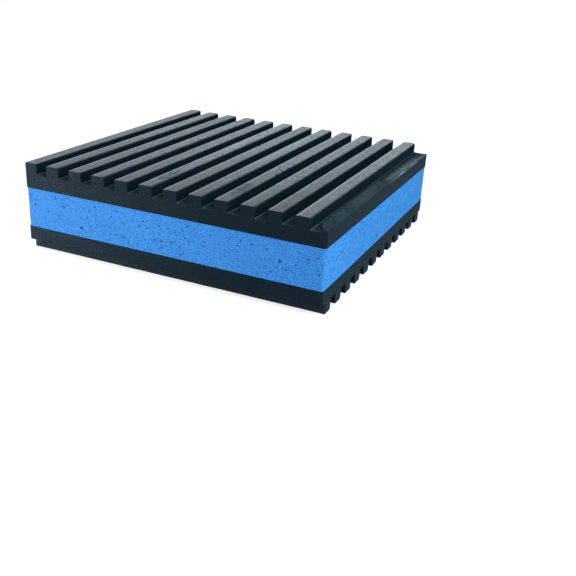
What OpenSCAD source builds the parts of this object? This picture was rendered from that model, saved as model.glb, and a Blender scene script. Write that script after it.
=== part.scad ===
// Anti-vibration machine pad: a foam core bonded between two ribbed rubber sheets.
// The upper sheet's ribs run from front to back, the lower sheet's from side to side.
// Millimetres, +Z up. The origin is under the middle of the pad, on the surface it stands on.
// The front is at -Y. All three layers are cut through together to one square outline.

/* [Pad] */
// Length of each side of the square pad
pad_side = 76.2; // [50:0.1:160]
// Radius of the four upright corners
corner_r = 0.6; // [0.2:0.1:2]

/* [Foam core] */
// Thickness of the foam core
foam_t = 9.5; // [4:0.1:30]

/* [Ribbed sheets] */
// Thickness of a rubber sheet below the floor of its grooves
base_t = 3.4; // [1.5:0.1:8]
// Height of a rib above the floor of the grooves
rib_h = 2.6; // [1.2:0.1:5]
// Width of a rib
rib_w = 3.4; // [2:0.1:6]
// Width of the groove between two ribs
groove_w = 2.87; // [1.6:0.01:6]
// Radius along the long edges of a rib
rib_edge_r = 0.3; // [0.1:0.05:0.6]
// Radius along the softer right edge of every second rib
soft_edge_r = 0.55; // [0.2:0.05:0.8]
// Radius of the fillet at the foot of a rib
rib_foot_r = 0.25; // [0.1:0.05:0.6]

/* [Trimmed edge] */
// Height of the sliver of the next rib that the cut leaves on the upper sheet's right edge
sliver_h = 2.1; // [1:0.1:2.5]
// Thickness of the sliver at its tip
sliver_tip = 0.12; // [0.05:0.01:0.3]
// How far the tip of the sliver leans in over the groove
sliver_lean = 0.45; // [0:0.05:0.8]
// Length of the sliver at its full height, from the front face
sliver_len = 34; // [10:0.5:60]
// Length over which it then drops to the floor of the groove
sliver_drop = 9; // [2:0.5:20]
// Height of the torn lip that takes over half-way down the drop
lip_h = 1.3; // [0.5:0.1:1.6]
// Height of that lip at the back face
lip_end_h = 0.15; // [0.05:0.05:0.4]

/* [Hidden] */
$fn = 48;

half = pad_side / 2;
sheet_t = base_t + rib_h;
foam_z = sheet_t;
top_sheet_z = foam_z + foam_t;

// The ribs that fit across the pad, and what is left over beside them
rib_pitch = rib_w + groove_w;
rib_count = floor((pad_side + groove_w) / rib_pitch);
ledge = pad_side - (rib_count * rib_pitch - groove_w);
// What the cut leaves of the next rib, when the first is flush with the other edge
sliver_w = ledge - groove_w;

// Depth that a rib's outline reaches into the base, so that the two become one solid
overlap = base_t / 2;

// The square outline that the three layers share
module pad_outline() {
    inner = pad_side - 2 * corner_r;
    square([pad_side, inner], center = true);
    square([inner, pad_side], center = true);
    for (x = [-inner / 2, inner / 2], y = [-inner / 2, inner / 2])
        translate([x, y])
            circle(r = corner_r);
}

// Fillet in the corner between the floor and a wall on its right
module foot_fillet() {
    difference() {
        translate([-rib_foot_r, 0])
            square(rib_foot_r);
        translate([-rib_foot_r, rib_foot_r])
            circle(r = rib_foot_r);
    }
}

// Left half of a rib's section, with the floor of the grooves at y = 0
module rib_half(edge_r) {
    shoulder = rib_h - edge_r;
    translate([0, -overlap])
        square([rib_w / 2, overlap + shoulder]);
    translate([edge_r, 0])
        square([rib_w / 2 - edge_r, rib_h]);
    translate([edge_r, shoulder])
        circle(r = edge_r);
    foot_fillet();
}

// Section of one rib, whose right edge may be softer than its left
module rib_section(right_r) {
    rib_half(rib_edge_r);
    translate([rib_w, 0])
        mirror([1, 0])
            rib_half(right_r);
}

// Section of a sheet across its ribs, cut off square at both sides of the pad
module sheet_section(first_rib) {
    intersection() {
        square([pad_side, sheet_t]);
        union() {
            square([pad_side, base_t]);
            for (i = [0 : rib_count - 1])
                translate([first_rib + i * rib_pitch, base_t])
                    rib_section(i % 2 == 0 ? rib_edge_r : soft_edge_r);
        }
    }
}

// A section in X and Z drawn out along Y over the depth of the pad
module along_depth() {
    translate([-half, half, 0])
        rotate([90, 0, 0])
            linear_extrude(pad_side)
                children();
}

// The start of the next rib, cut through at a slant and torn off towards the back
module edge_sliver() {
    drop_end = sliver_len + sliver_drop;
    intersection() {
        along_depth()
            translate([pad_side - sliver_w, base_t])
                polygon([[0, -overlap], [sliver_w, -overlap], [sliver_w, 0],
                         [sliver_tip - sliver_lean, sliver_h], [-sliver_lean, sliver_h]]);
        // side view of the sliver, from the front face towards the back
        translate([0, -half, base_t])
            rotate([90, 0, 90])
                linear_extrude(half)
                    polygon([[0, -overlap], [drop_end, -overlap], [drop_end, 0],
                             [sliver_len, sliver_h], [0, sliver_h]]);
    }
}

// What the tear left behind the sliver: a lip that rises to the cut side and sinks towards the back
module edge_lip() {
    lip_start = sliver_len + sliver_drop / 2;
    fall = atan((lip_h - lip_end_h) / (pad_side - lip_start));
    lip_foot = -lip_h - overlap;
    translate([half, lip_start - half, base_t + lip_h])
        rotate([-fall, 0, 0])
            translate([0, pad_side, 0])
                rotate([90, 0, 0])
                    linear_extrude(pad_side)
                        polygon([[0, 0], [0, lip_foot], [-sliver_w, lip_foot], [-sliver_w, -lip_h]]);
}

// The first rib is flush with the left edge, so the whole ledge is on the right
module top_ribbed_sheet() {
    color([0.16, 0.18, 0.20])
        translate([0, 0, top_sheet_z])
            intersection() {
                union() {
                    along_depth()
                        sheet_section(0);
                    if (sliver_w > sliver_tip) {
                        edge_sliver();
                        edge_lip();
                    }
                }
                linear_extrude(sheet_t)
                    pad_outline();
            }
}

module foam_core() {
    color([0.25, 0.56, 0.92])
        translate([0, 0, foam_z])
            linear_extrude(foam_t)
                pad_outline();
}

// Turned over and across, with an equal ledge at the front and at the back
module bottom_ribbed_sheet() {
    color([0.16, 0.18, 0.20])
        translate([0, 0, sheet_t])
            rotate([180, 0, 90])
                intersection() {
                    along_depth()
                        sheet_section(ledge / 2);
                    linear_extrude(sheet_t)
                        pad_outline();
                }
}

top_ribbed_sheet();
foam_core();
bottom_ribbed_sheet();
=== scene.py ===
"""An anti-vibration machine pad: two ribbed rubber sheets bonded to a core of blue foam."""

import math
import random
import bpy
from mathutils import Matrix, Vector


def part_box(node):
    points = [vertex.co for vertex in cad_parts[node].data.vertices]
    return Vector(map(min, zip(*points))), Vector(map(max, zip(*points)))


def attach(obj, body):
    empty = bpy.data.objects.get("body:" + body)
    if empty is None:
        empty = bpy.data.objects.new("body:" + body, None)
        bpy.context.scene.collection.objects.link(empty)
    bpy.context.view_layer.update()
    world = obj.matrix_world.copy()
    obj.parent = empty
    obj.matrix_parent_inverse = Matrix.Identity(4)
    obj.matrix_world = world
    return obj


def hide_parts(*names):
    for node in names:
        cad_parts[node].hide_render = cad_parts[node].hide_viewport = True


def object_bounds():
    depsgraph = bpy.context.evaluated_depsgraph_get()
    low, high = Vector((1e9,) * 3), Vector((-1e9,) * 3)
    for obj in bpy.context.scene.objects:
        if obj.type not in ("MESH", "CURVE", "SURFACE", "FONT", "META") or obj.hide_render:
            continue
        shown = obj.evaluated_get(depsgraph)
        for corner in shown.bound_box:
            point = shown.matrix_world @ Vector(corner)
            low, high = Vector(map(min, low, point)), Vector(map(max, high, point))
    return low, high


bl_info = {
    "name": "Anti-vibration machine pad",
    "version": (1, 0, 0),
    "blender": (4, 5, 0),
    "location": "3D View > Sidebar > Pad",
    "description": "Models a ribbed rubber and foam machine pad, and the stage that it is shown on",
    "category": "Add Mesh",
}

import bmesh
import bpy
from mathutils import Euler, Vector

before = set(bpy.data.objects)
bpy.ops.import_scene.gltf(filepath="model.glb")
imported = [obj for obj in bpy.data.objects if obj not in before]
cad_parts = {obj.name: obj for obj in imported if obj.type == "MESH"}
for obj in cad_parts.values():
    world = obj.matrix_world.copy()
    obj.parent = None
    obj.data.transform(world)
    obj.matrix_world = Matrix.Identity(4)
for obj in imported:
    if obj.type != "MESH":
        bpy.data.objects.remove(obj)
CAD_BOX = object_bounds()

MM = 0.001
TINY = 0.000001
X, Y, Z = range(3)

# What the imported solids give: the outline, and the heights at which the layers meet
FOAM_LOW, FOAM_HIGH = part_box("foam_core")
PAD_SIDE = FOAM_HIGH.x - FOAM_LOW.x
HALF = PAD_SIDE / 2
FOAM_Z = FOAM_LOW.z
FOAM_T = FOAM_HIGH.z - FOAM_LOW.z
SHEET_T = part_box("top_ribbed_sheet")[1].z - FOAM_HIGH.z
PAD_T = CAD_BOX[1].z
MID_Z = PAD_T / 2

# Rows of faces along a rubber sheet
SHEET_ROWS = 112

# Least angle between the faces at the long edge of a rib, at a cut edge and at an edge that stays sharp
LONG_EDGE_ANGLE = math.radians(60)
CUT_EDGE_ANGLE = math.radians(40)
SHARP_ANGLE = math.radians(50)

# Share of an edge's length that runs along an axis, when the edge is taken to be parallel to it
PARALLEL = 0.999

# The trimmed edge: the share of its width that becomes the tip of the sliver, how far up its slant the
# sliver's last row of points lies, and the section of the torn lip in shares of its width and height
TIP_SHARE = 0.3
SLANT_SHARE = 0.3
LIP_SECTION = ((0.15, 0.1), (0.55, 0.45), (0.98, 1.0))

# Strip along the trimmed edge that is cut or torn all over, and the strip that is too thin to roughen
TORN_STRIP = 1.0 * MM
THIN_STRIP = 1.6 * MM

# Depth from the outline to which the upper sheet has the cut finish, and how far that finish goes
# past the ledge of the lower sheet
CUT_DEPTH = 1.5 * MM
CUT_MARGIN = 0.2 * MM

# Least part of a cut face's normal that points outwards, and the part up or down that it stays under
OUTWARD = 0.3
UPRIGHT = 0.75

# Reach of the upright corners, which keep their true form, from the sides and from the front and back
CORNER_X = 4.0 * MM
CORNER_Y = 1.0 * MM

# Height beside a bonded face that keeps its true form
RUBBER_BOND = 0.1 * MM
FOAM_BOND = 0.2 * MM

# Size of the lumps in the uneven surfaces, and for the foam also their depth
RUBBER_LUMPS = 6.0 * MM
FOAM_WAVES = (9.0 * MM, 0.12 * MM)
FOAM_CELLS = (0.6 * MM, 0.07 * MM)

# The foam: size of a face on its sides, how much narrower than the rubber it is, and the depth from
# its right side that has that side's finish
FOAM_FACE = 0.32 * MM
FOAM_SHRINK = 0.1 * MM
FOAM_SKIN = 0.5 * MM

# Pores in the foam: places tried, seed of the draw, share of large ones, rim, depth, and the height
# at the top and the bottom of the sides that has none
PORE_TRIES = 240
PORE_SEED = 5
LARGE_PORES = 0.03
PORE_RIM = 0.04 * MM
PORE_DEPTH = 0.2 * MM
PORE_MARGIN = 3 * FOAM_FACE

# Worn spots near the front ends of upper ribs: the rib, counted from 0, and the place along it,
# then how far a spot reaches across and along the rib
WORN_SPOTS = ((5, -27.5 * MM), (8, -28.0 * MM))
WORN_REACH = (1.7 * MM, 6.0 * MM)

# Nicks in the right edges of the upper ribs: the rib, counted from 0, the place along it and the depth
NICKS = (
    (8, -13.4 * MM, 0.4 * MM),
    (8, -9.8 * MM, 0.5 * MM),
    (8, -6.9 * MM, 0.35 * MM),
    (8, -3.7 * MM, 0.25 * MM),
    (8, 5.0 * MM, 0.25 * MM),
    (11, 13.0 * MM, 0.3 * MM),
)

# How far a nick runs each way along the edge, the share of its depth that the edge sinks, and its
# reach down and in from the edge, in radii of the edge
NICK_RUN = 0.45 * MM
NICK_SINK = 0.2
NICK_REACH = 1.1

# Places across the upper sheet: in the groove before the last rib, just inside that rib's right wall,
# and where the painted highlight on the floor of the last groove starts, towards the torn edge, with the
# width of that
LAST_RIB_X = HALF - 8.0 * MM
LAST_WALL_X = HALF - 4.0 * MM
PALE_X = HALF - 2.9 * MM
PALE_W = 2.3 * MM

# Depth below the top of a rib at which its worn finish starts
TOP_DEPTH = 0.35 * MM

# Widths over which the masks of the finishes rise: a hair's breadth and a step, then at the lip of
# the tear, at the tops and feet of the ribs, and on the cuts
HAIR = 0.02 * MM
STEP = 0.1 * MM
LIP_FADE = 0.05 * MM
RIB_FADE = 0.3 * MM
CUT_FADE = 0.4 * MM

# Sockets of a Mix node: its two colours, and the colour that comes out
MIX_FIRST = 6
MIX_SECOND = 7
MIX_RESULT = 2

# What the foam and its pores have in common
FOAM_SURFACE = {"Roughness": 0.9, "Specular_IOR_Level": 0.2}

# The softboxes, with places and sides in metres
SOFTBOXES = {
    "left softbox": {"place": (-0.15, -0.17, 0.06), "side": 0.12, "watts": 0.27, "tint": (1.0, 1.0, 1.0)},
    "right softbox": {"place": (0.2, -0.04, 0.2), "side": 0.15, "watts": 0.46, "tint": (0.6, 0.97, 1.0)},
}

# The floor's side, its gap below the pad and its glow, and the level of the light all round
FLOOR_SIDE = 60.0
FLOOR_GAP = 0.02 * MM
FLOOR_GLOW = 0.64
SURROUND = 0.45

# Rays that see the floor and the surround as white
WHITE_RAYS = ("Is Camera Ray", "Is Glossy Ray", "Is Transmission Ray")


def length(name, description, default_mm):
    """A length that a user can change, with its default in millimetres."""
    return bpy.props.FloatProperty(
        name=name,
        description=description,
        default=default_mm * MM,
        min=0.0,
        precision=5,
        subtype="DISTANCE",
        unit="LENGTH",
    )


def angle(name, description, degrees):
    """An angle that a user can change, with its default in degrees."""
    return bpy.props.FloatProperty(
        name=name,
        description=description,
        default=math.radians(degrees),
        subtype="ANGLE",
        unit="ROTATION",
    )


def colour(name, description, default):
    """A colour that a user can change."""
    return bpy.props.FloatVectorProperty(
        name=name, description=description, default=default, size=3, min=0.0, max=1.0, subtype="COLOR"
    )


def share(name, description, default):
    """A number from 0 to 1 that a user can change."""
    return bpy.props.FloatProperty(
        name=name, description=description, default=default, min=0.0, max=1.0, subtype="FACTOR"
    )


class PadSizes(bpy.types.PropertyGroup):
    """Sizes of the ribbed sheets and the foam core"""

    rib_w: length("Rib width", "Width of a rib", 3.4)
    rib_h: length("Rib height", "Height of a rib above the floor of the grooves", 2.6)
    groove_w: length("Groove width", "Width of the groove between two ribs", 2.87)
    crisp_r: length("Crisp edge", "Radius along the crisper edges of the ribs", 0.3)
    soft_r: length("Soft edge", "Radius along the right edge of every second rib", 0.55)
    foot_r: length("Foot fillet", "Radius of the fillet at the foot of a rib", 0.25)
    cut_r: length("Cut edge", "Radius along the edges that the knife left", 0.07)
    corner_r: length("Corner radius", "Radius of the four upright corners", 0.6)
    sliver_h: length("Sliver height", "Height of the sliver of the next rib on the right edge", 2.1)
    sliver_tip: length("Sliver tip", "Thickness of that sliver at its tip", 0.12)
    sliver_lean: length("Sliver lean", "How far the sliver leans in over the groove", 0.45)
    sliver_len: length("Sliver length", "Length of the sliver at full height, from the front", 34.0)
    sliver_drop: length("Sliver drop", "Length over which the sliver is torn down", 9.0)
    lip_h: length("Lip height", "Height of the torn lip half-way down the drop", 1.3)
    lip_end_h: length("Lip end height", "Height of the torn lip at the back", 0.15)
    uneven: length("Unevenness", "Most that a rubber surface dips below its true form", 0.09)


class PadFinish(bpy.types.PropertyGroup):
    """Colours and surface of the rubber and the foam"""

    rubber: colour("Rubber", "Colour of the rubber", (0.004, 0.0115, 0.0195))
    # Also the colour of the painted light on the cut rubber and of the painted highlights in the grooves
    bloom_and_painted_light: colour("Bloom", "Colour of the pale bloom on the rubber", (0.1, 0.137, 0.168))
    # Partly a real hazed film on the rib tops, partly painted sheen
    haze_and_sheen: colour("Haze", "Colour of the haze on the rib tops", (0.35, 0.39, 0.42))
    # Painted highlight along the torn edge, in the last groove and on the lip
    tear_highlight: colour("Tear", "Colour of the stretched rubber along the tear", (0.62, 0.67, 0.71))
    foam: colour("Foam", "Colour of the foam", (0.072, 0.345, 0.87))
    cell: colour("Cells", "Colour in the fine cells of the foam", (0.024, 0.15, 0.52))
    # Painted shade in the open pores and in the small dark specks of the foam
    pore_shade: colour("Pores", "Colour in the open pores of the foam", (0.018, 0.12, 0.4))
    sheen: colour("Sheen", "Tint of what the rubber reflects", (0.7, 0.86, 1.0))
    dust_and_sheen: colour("Dust", "Tint of the fine dust on the rib tops", (0.6, 0.78, 1.0))
    top_roughness: share("Top roughness", "Roughness of the worn rib tops", 0.36)
    cut_roughness: share("Cut roughness", "Roughness of the knife-cut rubber", 0.82)


class PadStage(bpy.types.PropertyGroup):
    """Camera and floor"""

    lens: bpy.props.FloatProperty(
        name="Lens", description="Focal length on a 36 mm sensor, in millimetres", default=49.84
    )
    place: bpy.props.FloatVectorProperty(
        name="Camera place",
        description="Where the camera stands",
        default=(89.6 * MM, -179.45 * MM, 73.07 * MM),
        size=3,
        subtype="TRANSLATION",
        unit="LENGTH",
    )
    azimuth: angle("Azimuth", "How far the view turns to the left of the depth of the pad", 22.79)
    elevation: angle("Elevation", "How far the view looks down", 23.88)
    roll: angle("Roll", "How far the camera leans to its left", 3.37)
    floor: colour("Floor", "Colour of the floor", (0.8, 0.8, 0.8))


def sizes():
    return bpy.context.scene.pad_sizes


def finish():
    return bpy.context.scene.pad_finish


def stage():
    return bpy.context.scene.pad_stage


def rib_pitch():
    """Distance from one rib to the next."""
    return sizes().rib_w + sizes().groove_w


def rib_count():
    """How many ribs fit across the pad."""
    return math.floor((PAD_SIDE + sizes().groove_w) / rib_pitch())


def rib_starts(first_rib):
    """Where the ribs of a sheet start across it, with the first at a distance from its left edge."""
    return [-HALF + first_rib + i * rib_pitch() for i in range(rib_count())]


def ledge_width():
    """What is left over beside the ribs of a sheet."""
    return PAD_SIDE - (rib_count() * rib_pitch() - sizes().groove_w)


def sliver_width():
    """What the cut leaves of the next rib, when the first is flush with the other edge."""
    return ledge_width() - sizes().groove_w


def bond_z():
    """Height of a sheet's bonded face, when the floor of its grooves is at z = 0."""
    return -(SHEET_T - sizes().rib_h)


class Wire:
    """An output of a shader tree, with arithmetic that adds Math nodes."""

    def __init__(self, tree, socket=None):
        self.tree = tree
        self.socket = socket

    def node(self, kind, settings=None, inputs=None, output=0):
        """Adds a node, sets it up, fills or links its inputs and returns one of its outputs."""
        made = self.tree.nodes.new(kind)
        for name, value in (settings or {}).items():
            if name == "stops":
                set_stops(made.color_ramp, value)
            else:
                setattr(made, name, value)
        for name, value in (inputs or {}).items():
            if isinstance(value, Wire):
                self.tree.links.new(value.socket, made.inputs[name])
            else:
                made.inputs[name].default_value = value
        return Wire(self.tree, made.outputs[output] if made.outputs else None)

    def maths(self, operation, *values):
        return self.node("ShaderNodeMath", {"operation": operation}, dict(enumerate(values)))

    def __add__(self, other):
        return self.maths("ADD", self, other)

    __radd__ = __add__

    def __sub__(self, other):
        return self.maths("SUBTRACT", self, other)

    def __rsub__(self, other):
        return self.maths("SUBTRACT", other, self)

    def __mul__(self, other):
        return self.maths("MULTIPLY", self, other)

    __rmul__ = __mul__


def set_stops(ramp, stops):
    """Gives a colour ramp its stops, each a position and a grey level."""
    while len(ramp.elements) < len(stops):
        ramp.elements.new(1.0)
    for element, (position, level) in zip(ramp.elements, stops):
        element.position = position
        element.color = (level, level, level, 1.0)


def new_shader(name):
    """Makes a material with an empty tree, and returns the object coordinates in it."""
    material = bpy.data.materials.new(name)
    material.use_nodes = True
    material.node_tree.nodes.clear()
    return Wire(material.node_tree).node("ShaderNodeTexCoord", output="Object")


def end_tree(shader):
    shader.node("ShaderNodeOutputMaterial", inputs={"Surface": shader})


def opaque(tint):
    return (*tint, 1.0)


def noise(at, grain, detail=2.0, roughness=0.5):
    """A noise from 0 to 1 whose lumps are about grain across, in metres."""
    return at.node(
        "ShaderNodeTexNoise",
        inputs={"Vector": at, "Scale": 1.0 / grain, "Detail": detail, "Roughness": roughness},
    )


def ramp(value, *stops):
    """A level that follows a value through stops, each a value and a level."""
    return value.node("ShaderNodeValToRGB", {"stops": stops}, {"Fac": value})


def blend(factor, first, second):
    """A colour between two, each a colour or a wire."""
    first, second = [c if isinstance(c, Wire) else opaque(c) for c in (first, second)]
    inputs = {"Factor": factor, MIX_FIRST: first, MIX_SECOND: second}
    return factor.node("ShaderNodeMix", {"data_type": "RGBA"}, inputs, output=MIX_RESULT)


def clamped(value):
    return value.node("ShaderNodeClamp", inputs={"Value": value})


def past(value, edge, width):
    """0 up to an edge, rising to 1 over a width behind it."""
    return clamped((value - edge) * (1.0 / width))


def short_of(value, edge, width):
    """1 up to a width before an edge, falling to 0 at it."""
    return clamped((edge - value) * (1.0 / width))


def stretched(at, scale):
    """Object coordinates scaled along each axis, so that a pattern is drawn out where the scale is small."""
    return at.node("ShaderNodeMapping", inputs={"Vector": at, "Scale": scale})


def part_of(at, axis):
    """One coordinate of a place."""
    return at.node("ShaderNodeSeparateXYZ", inputs={"Vector": at}, output=axis)


def share_of_pad(at, axis):
    """How far across or along the pad a place is, from 0 at the left or the front to 1."""
    return part_of(at, axis) * (0.5 / HALF) + 0.5


def share_of_pitch(at):
    """How far a place is from the left edge of its upper rib, from 0 to 1 at the next rib."""
    from_left = part_of(at, "X") + HALF
    return from_left.maths("MODULO", from_left, rib_pitch()) * (1.0 / rib_pitch())


def principled(at, **inputs):
    """A Principled shader with some of its inputs set or linked."""
    return at.node("ShaderNodeBsdfPrincipled", inputs={k.replace("_", " "): v for k, v in inputs.items()})


def bumps(height, strength, depth):
    """A normal that follows bumps of a depth."""
    return height.node("ShaderNodeBump", inputs={"Height": height, "Strength": strength, "Distance": depth})


def spot(at, x, y, reach):
    """1 at a place on the pad, falling to 0 at a reach across and along it."""
    across = (part_of(at, "X") - x) * (1.0 / reach[X])
    along = (part_of(at, "Y") - y) * (1.0 / reach[Y])
    return clamped(1.0 - across * across - along * along)


def tear_highlight_along(along):
    """How bright the painted highlight along the torn right edge is, from the share of the depth of the pad,
    0 to 1; its fade at the back is partly painted shade.
    """
    return ramp(along, (0.54, 0.0), (0.6, 0.85), (0.7, 1.0), (0.8, 0.9), (0.95, 0.3))


def worn_tops(at, top, sand):
    """The rib tops: sandy, hazed more on every second rib, with painted sheen that makes them paler towards
    the back and dimmer on the left ribs and near the right edge, a painted highlight along the left edge of
    each rib, and rubbed in spots.
    """
    across = part_of(at, "X")
    along = share_of_pad(at, "Y")
    grains = ramp(sand, (0.35, 0.0), (0.65, 1.0))
    streaks = ramp(noise(stretched(at, (1.0, 0.08, 1.0)), 5.0 * MM, detail=1.0), (0.35, 0.6), (0.65, 1.0))
    wave = (across + (HALF - sizes().rib_w / 2)) * (math.pi / rib_pitch())
    every_second = 0.83 - 0.14 * wave.maths("COSINE", wave)
    # Painted sheen: paler towards the back, dimmer on the left ribs and near the right edge, and a painted
    # highlight along the left edge of each rib
    sheen_to_back = ramp(along, (0.0, 0.08), (0.65, 1.0))
    to_right = share_of_pad(at, "X")
    sheen_across = ramp(to_right, (0.0, 0.75), (0.2, 0.78), (0.35, 1.15), (0.7, 1.15), (0.85, 0.95))
    left_edge_highlight = ramp(share_of_pitch(at), (0.05, 0.45), (0.13, 0.0))
    last_front = 0.13 * past(across, LAST_RIB_X, STEP) * (1.0 - along)
    haze_and_painted_sheen = clamped(streaks * every_second * sheen_to_back * sheen_across * grains + left_edge_highlight + last_front)
    middles = [(rib_pitch() * rib + sizes().rib_w / 2 - HALF, y) for rib, y in WORN_SPOTS]
    rubbed = sum(spot(at, x, y, WORN_REACH) for x, y in middles)
    blotches = ramp(noise(stretched(at, (1.0, 0.5, 1.0)), 0.7 * MM), (0.4, 0.0), (0.55, 1.0))
    # Matt below the tops, because an exported mesh keeps only this shader's surface
    below_top = clamped(1.0 - 4.0 * top)
    dull = 0.5 * rubbed * blotches + 0.5 * below_top
    return principled(
        at,
        Base_Color=blend(haze_and_painted_sheen, finish().rubber, finish().haze_and_sheen),
        Roughness=clamped(finish().top_roughness + 0.2 * (0.5 - grains) + dull),
        Specular_IOR_Level=0.25,
        Specular_Tint=opaque(finish().sheen),
        Sheen_Weight=0.2,
        Sheen_Roughness=0.35,
        Sheen_Tint=opaque(finish().dust_and_sheen),
        Normal=bumps(sand, strength=0.6, depth=0.05 * MM),
    )


def dark_walls(at, sand):
    """The walls and floors of the grooves: dark and a little hazed, with painted highlights at the feet of
    the ribs, at the front ends of the grooves and on the floor beside the torn edge.
    """
    across = part_of(at, "X")
    along = share_of_pad(at, "Y")
    height = part_of(at, "Z")
    off_floor = height.maths("ABSOLUTE", height - (PAD_T - sizes().rib_h))
    at_floor = clamped(1.0 - (1.0 / RIB_FADE) * off_floor)
    # Painted highlights: a pale stripe along the foot of each upper rib's right wall, strongest at the
    # front, and a paler patch at the front ends of the grooves
    foot = sizes().rib_w / rib_pitch()
    foot_stops = ((foot, 0.0), (foot + 0.01, 1.0), (foot + 0.02, 1.0), (foot + 0.035, 0.0))
    beside_wall = ramp(share_of_pitch(at), *foot_stops)
    to_front = ramp(along, (0.0, 0.6), (0.5, 0.1))
    lit_groove_end = ramp(along, (0.0, 0.4), (0.08, 0.0))
    floor_highlights = at_floor * (beside_wall * to_front + lit_groove_end)
    # Lighter right of the last rib's right wall, and a painted highlight on the floor beside the torn edge
    last_wall = past(across, LAST_WALL_X, STEP)
    bloom_and_highlights = blend(floor_highlights + 0.035 + 0.05 * last_wall, finish().rubber, finish().bloom_and_painted_light)
    tear_highlight_on_floor = past(across, PALE_X, PALE_W) * at_floor * tear_highlight_along(along)
    pale = 0.45 * tear_highlight_on_floor * (sand + 0.4) + 0.02 * last_wall * at_floor
    return principled(at, Base_Color=blend(pale, bloom_and_highlights, finish().tear_highlight), Specular_IOR_Level=0.0)


def moulded_rubber():
    """Rubber as it left the mould: dark, with sandy rib tops that are pale partly from a film settled on
    them and partly from painted sheen.
    """
    at = new_shader("moulded rubber")
    height = part_of(at, "Z")
    off_middle = height.maths("ABSOLUTE", height - MID_Z)
    top = past(off_middle, MID_Z - TOP_DEPTH, RIB_FADE)
    sand = noise(stretched(at, (1.0, 0.6, 1.0)), 0.36 * MM, roughness=0.6)
    shaders = {1: worn_tops(at, top, sand), 2: dark_walls(at, sand)}
    end_tree(at.node("ShaderNodeMixShader", inputs={0: 1.0 - top, **shaders}))


def cut_rubber():
    """Rubber that a knife has cut through: dull, with a fine grain and a few pale specks, and with painted
    light that makes it paler towards the left of the front, on the right side, on the sliver and on the ends
    of the lower ribs.
    """
    at = new_shader("cut rubber")
    to_right = share_of_pad(at, "X")
    along = share_of_pad(at, "Y")
    height = part_of(at, "Z")
    sand = noise(at, 0.28 * MM, roughness=0.7)
    patches = noise(at, 5.0 * MM, detail=3.0)
    specks = ramp(noise(at, 0.4 * MM, detail=0.0), (0.74, 0.0), (0.8, 1.0))
    # Where the sliver and the lip of the right edge are, and the ends of the lower ribs
    floor_z = PAD_T - sizes().rib_h
    right_strip = ramp(to_right, (0.98, 0.0), (0.985, 1.0))
    on_sliver = past(height, floor_z, CUT_FADE) * right_strip
    on_lower_rib = short_of(height, sizes().rib_h, CUT_FADE)
    inside = short_of(part_of(at, "X"), HALF - HAIR, LIP_FADE)
    above_floor = past(height, floor_z, HAIR)
    on_lip = inside * above_floor * right_strip * tear_highlight_along(along)
    # Painted light and real pale specks, and the painted highlight along the torn edge
    dust_and_sheen = ramp(to_right, (0.0, 0.32), (0.5, 0.1), (0.75, 0.03), (0.98, 0.03), (1.0, 0.085))
    dust_and_sheen = dust_and_sheen + 0.26 * on_sliver * patches + 0.13 * on_lower_rib
    pale = dust_and_sheen * (ramp(sand, (0.38, 0.0), (0.62, 1.3)) + 0.5 * (patches - 0.5))
    cut_with_painted_light = blend(clamped(pale + (0.1 + 0.4 * on_sliver) * specks), finish().rubber, finish().bloom_and_painted_light)
    # A band along the sliver made a little paler, most about a third of the way back; with the torn lip it
    # takes the colour of the painted highlight
    paler_band = on_sliver * ramp(along, (0.05, 0.01), (0.2, 0.012), (0.31, 0.04), (0.42, 0.02), (0.5, 0.01))
    torn = clamped(0.9 * on_lip + paler_band) * (sand + 0.3)
    end_tree(principled(
        at,
        Base_Color=blend(torn, cut_with_painted_light, finish().tear_highlight),
        Roughness=finish().cut_roughness + 0.15 * (sand - 0.5),
        Specular_IOR_Level=0.08,
        Specular_Tint=opaque(finish().sheen),
        Normal=bumps(sand, strength=0.5, depth=0.05 * MM),
    ))


def blue_foam():
    """Fine-celled foam: dull and finely mottled blue, with small dark specks of painted shade, like open
    cells, here and there.
    """
    at = new_shader("blue foam")
    cells = noise(at, 0.2 * MM, detail=1.0)
    flecks = noise(at, 0.45 * MM, detail=1.0)
    patches = noise(at, 4.0 * MM)
    # The right side is mottled, with painted light near its front; the rest has painted shade towards the
    # right
    on_right = past(part_of(at, "X"), HALF - FOAM_SKIN, STEP)
    painted_light_front = ramp(share_of_pad(at, "Y"), (0.0, 0.1), (0.3, 0.0))
    mottles = on_right * (flecks - 0.52 - painted_light_front)
    painted_shade_right = (1.0 - on_right) * ramp(share_of_pad(at, "X"), (0.5, 0.0), (0.8, 0.13), (1.0, 0.17))
    shade = ramp(cells, (0.36, 1.0), (0.57, 0.0)) + 0.25 * (patches - 0.5) + 3.2 * mottles + painted_shade_right
    # Small dark specks of painted shade
    specks = ramp(flecks, (0.26, 1.0), (0.32, 0.0))
    mottled = blend(clamped(shade), finish().foam, finish().cell)
    end_tree(principled(
        at,
        Base_Color=blend(specks, mottled, finish().pore_shade),
        Normal=bumps(cells, strength=0.5, depth=0.06 * MM),
        **FOAM_SURFACE,
    ))


def foam_pores():
    """The floors of the open pores, in painted shade, as little light gets in."""
    at = new_shader("foam pores")
    end_tree(principled(at, Base_Color=opaque(finish().pore_shade), **FOAM_SURFACE))


def pick(kind, test):
    """Selects the edges or faces of the mesh in edit mode that pass a test, and no others."""
    mesh = bpy.context.edit_object.data
    bpy.ops.mesh.select_mode(type=kind)
    bpy.ops.mesh.select_all(action="DESELECT")
    parts = bmesh.from_edit_mesh(mesh)
    for part in {"EDGE": parts.edges, "FACE": parts.faces}[kind]:
        if test(part):
            part.select_set(True)
    bmesh.update_edit_mesh(mesh)


def near(first, second):
    return abs(first - second) < TINY


def runs_along(edge, axis):
    """True for an edge that is parallel to an axis."""
    step = edge.verts[1].co - edge.verts[0].co
    return abs(step[axis]) > PARALLEL * step.length


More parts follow.
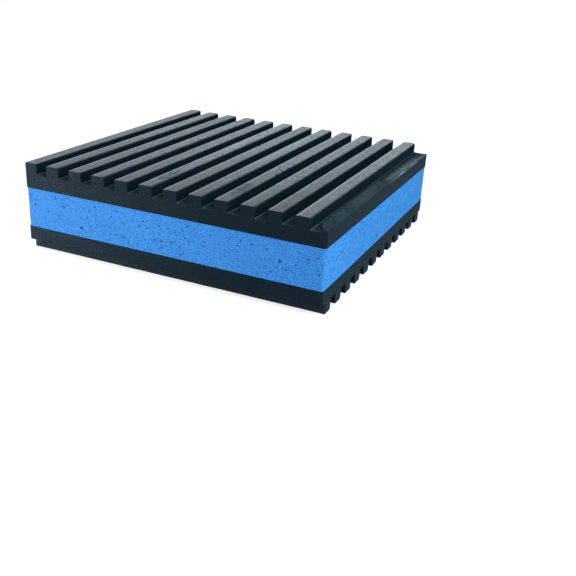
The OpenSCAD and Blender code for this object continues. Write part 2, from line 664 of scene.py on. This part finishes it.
def both_ends(edge, axis, value):
    """True for an edge whose ends both have a value on an axis."""
    return all(near(v.co[axis], value) for v in edge.verts)


def on_outline(edge):
    """True for an edge that lies in the front or the back cut."""
    return both_ends(edge, Y, -HALF) or both_ends(edge, Y, HALF)


def upwards(height):
    """The move of an extrusion along Z."""
    return {"value": (0, 0, height)}


def face_outwards():
    """Turns the faces of the closed mesh in edit mode outwards."""
    bpy.ops.mesh.select_all(action="SELECT")
    bpy.ops.mesh.normals_make_consistent(inside=False)


def trimmed_edge(across, y):
    """Place and height of a point on the trimmed edge, from its share of the strip's width, 0 to 1.

    At the front it is a sliver of the next rib, leaning in and cut at a slant. Further back
    the sliver is torn off, and a low lip that rises to the cut side is left.
    """
    s = sizes()
    width = sliver_width()
    tip = s.sliver_tip - s.sliver_lean
    low = (width + SLANT_SHARE * (tip - width), SLANT_SHARE * s.sliver_h)
    sliver = [(-s.sliver_lean, s.sliver_h), (tip, s.sliver_h), low]
    lip_start = s.sliver_len + s.sliver_drop / 2
    behind = (y + HALF - lip_start) / (PAD_SIDE - lip_start)
    crest = s.lip_h + (s.lip_end_h - s.lip_h) * max(0.0, behind)
    lip = [(part * width, height * crest) for part, height in LIP_SECTION]
    gone = min(1.0, max(0.0, (y + HALF - s.sliver_len) / s.sliver_drop))
    gone = gone * gone * (3 - 2 * gone)
    knots = [Vector(a).lerp(Vector(b), gone) for a, b in zip(sliver, lip)]
    if across < TIP_SHARE:
        return knots[0].lerp(knots[1], across / TIP_SHARE)
    return knots[1].lerp(knots[2], (across - TIP_SHARE) / (1 - TIP_SHARE))


def shape_trimmed_edge(inner):
    """Moves the top of the strip along the right edge to the form that the cut and the tear left."""
    mesh = bpy.context.edit_object.data
    for v in bmesh.from_edit_mesh(mesh).verts:
        if v.co.x > inner - TINY and v.co.z > sizes().sliver_h - TINY:
            place = trimmed_edge((v.co.x - inner) / (HALF - inner), v.co.y)
            v.co.x = inner + place.x
            v.co.z = place.y
    bmesh.update_edit_mesh(mesh)


def nick_edges(starts):
    """Dents the right edges of some ribs, where bits of rubber have been torn out."""
    s = sizes()
    reach = NICK_REACH * s.crisp_r
    mesh = bpy.context.edit_object.data
    for rib, y, depth in NICKS:
        edge = starts[rib] + s.rib_w
        for v in bmesh.from_edit_mesh(mesh).verts:
            if edge - reach < v.co.x < edge + TINY and v.co.z > s.rib_h - reach:
                near_by = math.exp(-((v.co.y - y) / NICK_RUN) ** 2)
                v.co.x -= depth * near_by
                v.co.z -= NICK_SINK * depth * near_by
    bmesh.update_edit_mesh(mesh)


def raise_ribs(starts, feet, strip):
    """Divides a flat sheet in edit mode, raises its ribs and the strip of a trimmed edge, and closes it."""
    s = sizes()
    lines = feet + [x + s.rib_w / 2 for x in starts]
    if strip is not None:
        lines += [strip, strip + TIP_SHARE * (HALF - strip)]
    for x in lines:
        bpy.ops.mesh.select_all(action="SELECT")
        bpy.ops.mesh.bisect(plane_co=(x, 0, 0), plane_no=(1, 0, 0), threshold=TINY)

    def in_rib(face):
        middle = face.calc_center_median().x
        return any(x < middle < x + s.rib_w for x in starts)

    pick("FACE", in_rib)
    bpy.ops.mesh.extrude_region_move(TRANSFORM_OT_translate=upwards(s.rib_h))
    if strip is not None:
        pick("FACE", lambda f: f.calc_center_median().x > strip)
        bpy.ops.mesh.extrude_region_move(TRANSFORM_OT_translate=upwards(s.sliver_h))
    pick("EDGE", lambda e: e.is_boundary)
    bpy.ops.mesh.extrude_edges_move(TRANSFORM_OT_translate=upwards(bond_z()))
    pick("EDGE", lambda e: e.is_boundary)
    bpy.ops.mesh.edge_face_add()
    face_outwards()


def round_edges(starts, feet, strip):
    """Rounds the upright corners, the long edges of the ribs, their feet and then the cut edges."""
    s = sizes()
    soft_sides = [x + s.rib_w for x in starts[1::2]]

    def upright_corner(edge):
        return runs_along(edge, Z) and on_outline(edge) and near(abs(edge.verts[0].co.x), HALF)

    def long_edge(edge):
        sharp = edge.calc_face_angle(0.0) > LONG_EDGE_ANGLE
        return sharp and both_ends(edge, Z, s.rib_h) and not on_outline(edge)

    def soft_edge(edge):
        return long_edge(edge) and any(both_ends(edge, X, x) for x in soft_sides)

    def foot(edge):
        on_floor = runs_along(edge, Y) and both_ends(edge, Z, 0.0)
        return on_floor and any(both_ends(edge, X, x) for x in feet)

    def on_strip(edge):
        return strip is not None and all(v.co.x > strip - TINY and v.co.z > -TINY for v in edge.verts)

    def cut_edge(edge):
        sharp = edge.calc_face_angle(0.0) > CUT_EDGE_ANGLE
        return sharp and not on_strip(edge) and not both_ends(edge, Z, bond_z())

    for test, radius, segments in (
        (upright_corner, s.corner_r, 4),
        (soft_edge, s.soft_r, 5),
        (long_edge, s.crisp_r, 4),
        (foot, s.foot_r, 3),
        (cut_edge, s.cut_r, 2),
    ):
        pick("EDGE", test)
        bpy.ops.mesh.bevel(offset=radius, segments=segments, affect="EDGES", clamp_overlap=False)


def ribbed_sheet(name, first_rib, trimmed):
    """A rubber sheet with its ribs up and along Y, and the floor of its grooves at z = 0."""
    starts = rib_starts(first_rib)
    feet = [x + side for x in starts for side in (0, sizes().rib_w) if x + side > -HALF + TINY]
    strip = HALF - sliver_width() if trimmed else None
    bpy.ops.object.select_all(action="DESELECT")
    bpy.ops.mesh.primitive_grid_add(x_subdivisions=1, y_subdivisions=SHEET_ROWS, size=PAD_SIDE)
    sheet = bpy.context.active_object
    sheet.name = name
    sheet.data.name = name
    bpy.ops.object.mode_set(mode="EDIT")
    raise_ribs(starts, feet, strip)
    round_edges(starts, feet, strip)
    if trimmed:
        shape_trimmed_edge(strip)
        nick_edges(starts)
    bpy.ops.object.mode_set(mode="OBJECT")
    return sheet


def assign_finishes(sheet, depth, trimmed):
    """Gives a sheet its moulded finish, and the cut one on the walls within a depth of the outline.

    The strip along a trimmed right edge is cut or torn all over.
    """
    sheet.data.materials.append(bpy.data.materials["moulded rubber"])
    sheet.data.materials.append(bpy.data.materials["cut rubber"])
    for face in sheet.data.polygons:
        sides = zip(face.center.xy, face.normal.xy)
        at_outline = any(
            abs(place) > HALF - depth and place * facing > OUTWARD * HALF for place, facing in sides
        )
        torn = trimmed and face.center.x > HALF - TORN_STRIP and face.center.z > -TINY
        face.material_index = int(torn or (at_outline and abs(face.normal.z) < UPRIGHT))


def in_corner(place):
    """True near the four upright corners, which keep their true form."""
    return abs(place.x) > HALF - CORNER_X and abs(place.y) > HALF - CORNER_Y


def free_surface(piece, test):
    """Puts the vertices that pass a test into the group that may be roughened."""
    group = piece.vertex_groups.new(name="free")
    group.add([v.index for v in piece.data.vertices if test(v.co)], 1.0, "REPLACE")


def roughen(piece, name, lumps, depth):
    """Lets the free surface dip a little, in lumps of a size, and applies that to the mesh."""
    texture = bpy.data.textures.new(name, "CLOUDS")
    texture.noise_scale = lumps
    texture.noise_depth = 2
    bpy.context.view_layer.objects.active = piece
    uneven = piece.modifiers.new(name, "DISPLACE")
    uneven.texture = texture
    uneven.texture_coords = "LOCAL"
    uneven.vertex_group = "free"
    uneven.mid_level = 1.0
    uneven.strength = depth
    bpy.ops.object.modifier_apply(modifier=uneven.name)


def settle(piece, place, turn=(0.0, 0.0, 0.0)):
    """Turns and moves a piece to its place, leaves that in its mesh and smooths it."""
    piece.location = place
    piece.rotation_euler = Euler(turn)
    bpy.ops.object.select_all(action="DESELECT")
    piece.select_set(True)
    bpy.context.view_layer.objects.active = piece
    bpy.ops.object.transform_apply(location=True, rotation=True, scale=True)
    bpy.ops.object.shade_smooth_by_angle(angle=SHARP_ANGLE)
    flat = piece.modifiers.new("flat faces", "WEIGHTED_NORMAL")
    flat.keep_sharp = True
    bpy.ops.object.modifier_apply(modifier=flat.name)


def finish_piece(piece, node):
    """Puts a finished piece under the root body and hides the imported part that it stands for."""
    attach(piece, "root")
    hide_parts(node)


class PAD_OT_materials(bpy.types.Operator):
    """Makes the rubber and foam finishes"""

    bl_idname = "pad.materials"
    bl_label = "Finishes"

    def execute(self, context):
        moulded_rubber()
        cut_rubber()
        blue_foam()
        foam_pores()
        return {"FINISHED"}


class PAD_OT_upper_sheet(bpy.types.Operator):
    """Models the upper rubber sheet, whose ribs run from front to back"""

    bl_idname = "pad.upper_sheet"
    bl_label = "Upper sheet"

    def execute(self, context):
        sheet = ribbed_sheet("upper_rubber_sheet", 0.0, True)
        assign_finishes(sheet, CUT_DEPTH, True)
        glued = bond_z() + RUBBER_BOND

        def may_dip(place):
            thin = place.x > HALF - THIN_STRIP and place.z > 0.0
            return place.z > glued and not thin and not in_corner(place)

        free_surface(sheet, may_dip)
        roughen(sheet, "upper waves", RUBBER_LUMPS, sizes().uneven)
        settle(sheet, (0.0, 0.0, PAD_T - sizes().rib_h))
        finish_piece(sheet, "top_ribbed_sheet")
        return {"FINISHED"}


class PAD_OT_lower_sheet(bpy.types.Operator):
    """Models the lower rubber sheet, turned over, with ribs from side to side"""

    bl_idname = "pad.lower_sheet"
    bl_label = "Lower sheet"

    def execute(self, context):
        ledge = ledge_width() / 2
        sheet = ribbed_sheet("lower_rubber_sheet", ledge, False)
        assign_finishes(sheet, ledge + CUT_MARGIN, False)
        glued = bond_z() + RUBBER_BOND
        free_surface(sheet, lambda place: place.z > glued and not in_corner(place))
        roughen(sheet, "lower waves", RUBBER_LUMPS, sizes().uneven)
        settle(sheet, (0.0, 0.0, sizes().rib_h), (math.pi, 0.0, math.pi / 2))
        finish_piece(sheet, "bottom_ribbed_sheet")
        return {"FINISHED"}


def foam_block(name):
    """A block of foam with rounded upright corners and finely divided sides, standing on z = 0."""
    side = PAD_SIDE - FOAM_SHRINK
    # A side is divided twice, because one call makes at most 100 cuts
    thirds = 3
    bpy.ops.object.select_all(action="DESELECT")
    bpy.ops.mesh.primitive_plane_add(size=side)
    block = bpy.context.active_object
    block.name = name
    block.data.name = name
    bpy.ops.object.mode_set(mode="EDIT")
    bpy.ops.mesh.select_all(action="SELECT")
    bpy.ops.mesh.bevel(offset=sizes().corner_r, segments=4, affect="VERTICES")
    bpy.ops.mesh.select_all(action="SELECT")
    bpy.ops.mesh.delete(type="ONLY_FACE")
    pick("EDGE", lambda e: e.calc_length() > side / 2)
    bpy.ops.mesh.subdivide(number_cuts=thirds - 1)
    bpy.ops.mesh.subdivide(number_cuts=round(side / thirds / FOAM_FACE) - 1)
    bpy.ops.mesh.select_all(action="SELECT")
    bpy.ops.mesh.extrude_edges_move(TRANSFORM_OT_translate=upwards(FOAM_T))
    pick("EDGE", lambda e: runs_along(e, Z))
    bpy.ops.mesh.subdivide(number_cuts=round(FOAM_T / FOAM_FACE) - 1)
    for z in (0.0, FOAM_T):
        pick("EDGE", lambda e: e.is_boundary and both_ends(e, Z, z))
        bpy.ops.mesh.edge_face_add()
    face_outwards()
    return block


def in_order(place):
    """A key that sorts places the same way on each run."""
    return tuple(round(part / TINY) for part in place)


def open_pores():
    """Opens pores in the sides of the foam in edit mode: pits under one face or the faces round a vertex."""
    draw = random.Random(PORE_SEED)
    mesh = bpy.context.edit_object.data
    parts = bmesh.from_edit_mesh(mesh)
    parts.faces.index_update()
    middle = [v for v in parts.verts if PORE_MARGIN < v.co.z < FOAM_T - PORE_MARGIN]
    middle.sort(key=lambda v: in_order(v.co))
    used = set()
    chosen = set()
    for v in draw.sample(middle, PORE_TRIES):
        around = sorted(v.link_faces, key=lambda f: in_order(f.calc_center_median()))
        wide = {f.index for g in v.link_faces for w in g.verts for f in w.link_faces}
        if not wide & used:
            used |= wide
            opened = around if draw.random() < LARGE_PORES else around[:1]
            chosen |= {f.index for f in opened}
    pick("FACE", lambda f: f.index in chosen)
    bpy.ops.mesh.inset(thickness=PORE_RIM, depth=-PORE_DEPTH, use_individual=False)
    for face in bmesh.from_edit_mesh(mesh).faces:
        face.material_index = int(face.select)
    bmesh.update_edit_mesh(mesh)


class PAD_OT_foam_core(bpy.types.Operator):
    """Models the foam core, with the pores that the cut opened in its sides"""

    bl_idname = "pad.foam_core"
    bl_label = "Foam core"

    def execute(self, context):
        block = foam_block("blue_foam_core")
        block.data.materials.append(bpy.data.materials["blue foam"])
        block.data.materials.append(bpy.data.materials["foam pores"])
        open_pores()
        bpy.ops.object.mode_set(mode="OBJECT")
        free_surface(block, lambda place: FOAM_BOND < place.z < FOAM_T - FOAM_BOND)
        roughen(block, "foam waves", *FOAM_WAVES)
        roughen(block, "foam cells", *FOAM_CELLS)
        settle(block, (0.0, 0.0, FOAM_Z))
        finish_piece(block, "foam_core")
        return {"FINISHED"}


def seen_white(at):
    """1 for the rays that should meet a white background, and 0 for the rest."""
    first, second, third = [at.node("ShaderNodeLightPath", output=kind) for kind in WHITE_RAYS]
    return at.maths("MAXIMUM", at.maths("MAXIMUM", first, second), third)


def lay_floor():
    """A pale floor that keeps the shadow and is white where the light is full."""
    bpy.ops.object.select_all(action="DESELECT")
    bpy.ops.mesh.primitive_plane_add(size=FLOOR_SIDE, location=(0.0, 0.0, -FLOOR_GAP))
    floor = bpy.context.active_object
    floor.name = "floor"
    at = new_shader("pale floor")
    paint = at.node("ShaderNodeBsdfDiffuse", inputs={"Color": opaque(stage().floor)})
    glow = at.node("ShaderNodeEmission", inputs={"Strength": FLOOR_GLOW * seen_white(at)})
    end_tree(at.node("ShaderNodeAddShader", inputs={0: paint, 1: glow}))
    floor.data.materials.append(bpy.data.materials["pale floor"])


def light_world():
    """A soft white surround, full white to the rays that see it."""
    world = bpy.data.worlds.new("studio")
    bpy.context.scene.world = world
    world.use_nodes = True
    world.node_tree.nodes.clear()
    start = Wire(world.node_tree)
    level = SURROUND + (1.0 - SURROUND) * seen_white(start)
    sky = start.node("ShaderNodeBackground", inputs={"Color": (1.0, 1.0, 1.0, 1.0), "Strength": level})
    start.node("ShaderNodeOutputWorld", inputs={"Surface": sky})


def softbox(name, place, side, watts, tint):
    """A square lamp that faces the middle of the pad."""
    lamp = bpy.data.lights.new(name, "AREA")
    lamp.shape = "SQUARE"
    lamp.size = side
    lamp.energy = watts
    lamp.color = tint
    holder = bpy.data.objects.new(name, lamp)
    holder.location = place
    aim = Vector((0.0, 0.0, MID_Z)) - Vector(place)
    holder.rotation_euler = aim.to_track_quat("-Z", "Y").to_euler()
    holder.visible_camera = False
    bpy.context.scene.collection.objects.link(holder)


def place_camera():
    """The camera, from its place and the three angles of its view."""
    view = bpy.data.cameras.new("camera")
    view.lens = stage().lens
    view.sensor_width = 36.0
    view.clip_start = 1.0 * MM
    holder = bpy.data.objects.new("camera", view)
    flat = math.cos(stage().elevation)
    ahead = Vector((
        -math.sin(stage().azimuth) * flat,
        math.cos(stage().azimuth) * flat,
        -math.sin(stage().elevation),
    ))
    turn = ahead.to_track_quat("-Z", "Y") @ Euler((0.0, 0.0, stage().roll)).to_quaternion()
    holder.location = stage().place
    holder.rotation_euler = turn.to_euler()
    bpy.context.scene.collection.objects.link(holder)
    bpy.context.scene.camera = holder


class PAD_OT_stage(bpy.types.Operator):
    """Sets up the floor, the light and the camera"""

    bl_idname = "pad.stage"
    bl_label = "Stage"

    def execute(self, context):
        lay_floor()
        light_world()
        for name, lamp in SOFTBOXES.items():
            softbox(name, **lamp)
        place_camera()
        context.scene.view_settings.view_transform = "Standard"
        return {"FINISHED"}


class PAD_PT_sidebar(bpy.types.Panel):
    """The steps that make the pad and its stage"""

    bl_idname = "PAD_PT_sidebar"
    bl_label = "Machine pad"
    bl_space_type = "VIEW_3D"
    bl_region_type = "UI"
    bl_category = "Pad"

    def draw(self, context):
        for operator in OPERATORS:
            self.layout.operator(operator.bl_idname)
        for group_name, group in GROUPS.items():
            box = self.layout.box()
            for name in group.__annotations__:
                box.prop(getattr(context.scene, group_name), name)


GROUPS = {"pad_sizes": PadSizes, "pad_finish": PadFinish, "pad_stage": PadStage}
OPERATORS = (PAD_OT_materials, PAD_OT_upper_sheet, PAD_OT_foam_core, PAD_OT_lower_sheet, PAD_OT_stage)


def register():
    for name, group in GROUPS.items():
        bpy.utils.register_class(group)
        setattr(bpy.types.Scene, name, bpy.props.PointerProperty(type=group))
    for operator in OPERATORS:
        bpy.utils.register_class(operator)
    bpy.utils.register_class(PAD_PT_sidebar)


def unregister():
    bpy.utils.unregister_class(PAD_PT_sidebar)
    for operator in reversed(OPERATORS):
        bpy.utils.unregister_class(operator)
    for name, group in reversed(GROUPS.items()):
        delattr(bpy.types.Scene, name)
        bpy.utils.unregister_class(group)


def main():
    register()
    bpy.ops.pad.materials()
    bpy.ops.pad.upper_sheet()
    bpy.ops.pad.foam_core()
    bpy.ops.pad.lower_sheet()
    bpy.ops.pad.stage()


if __name__ == "__main__":
    main()
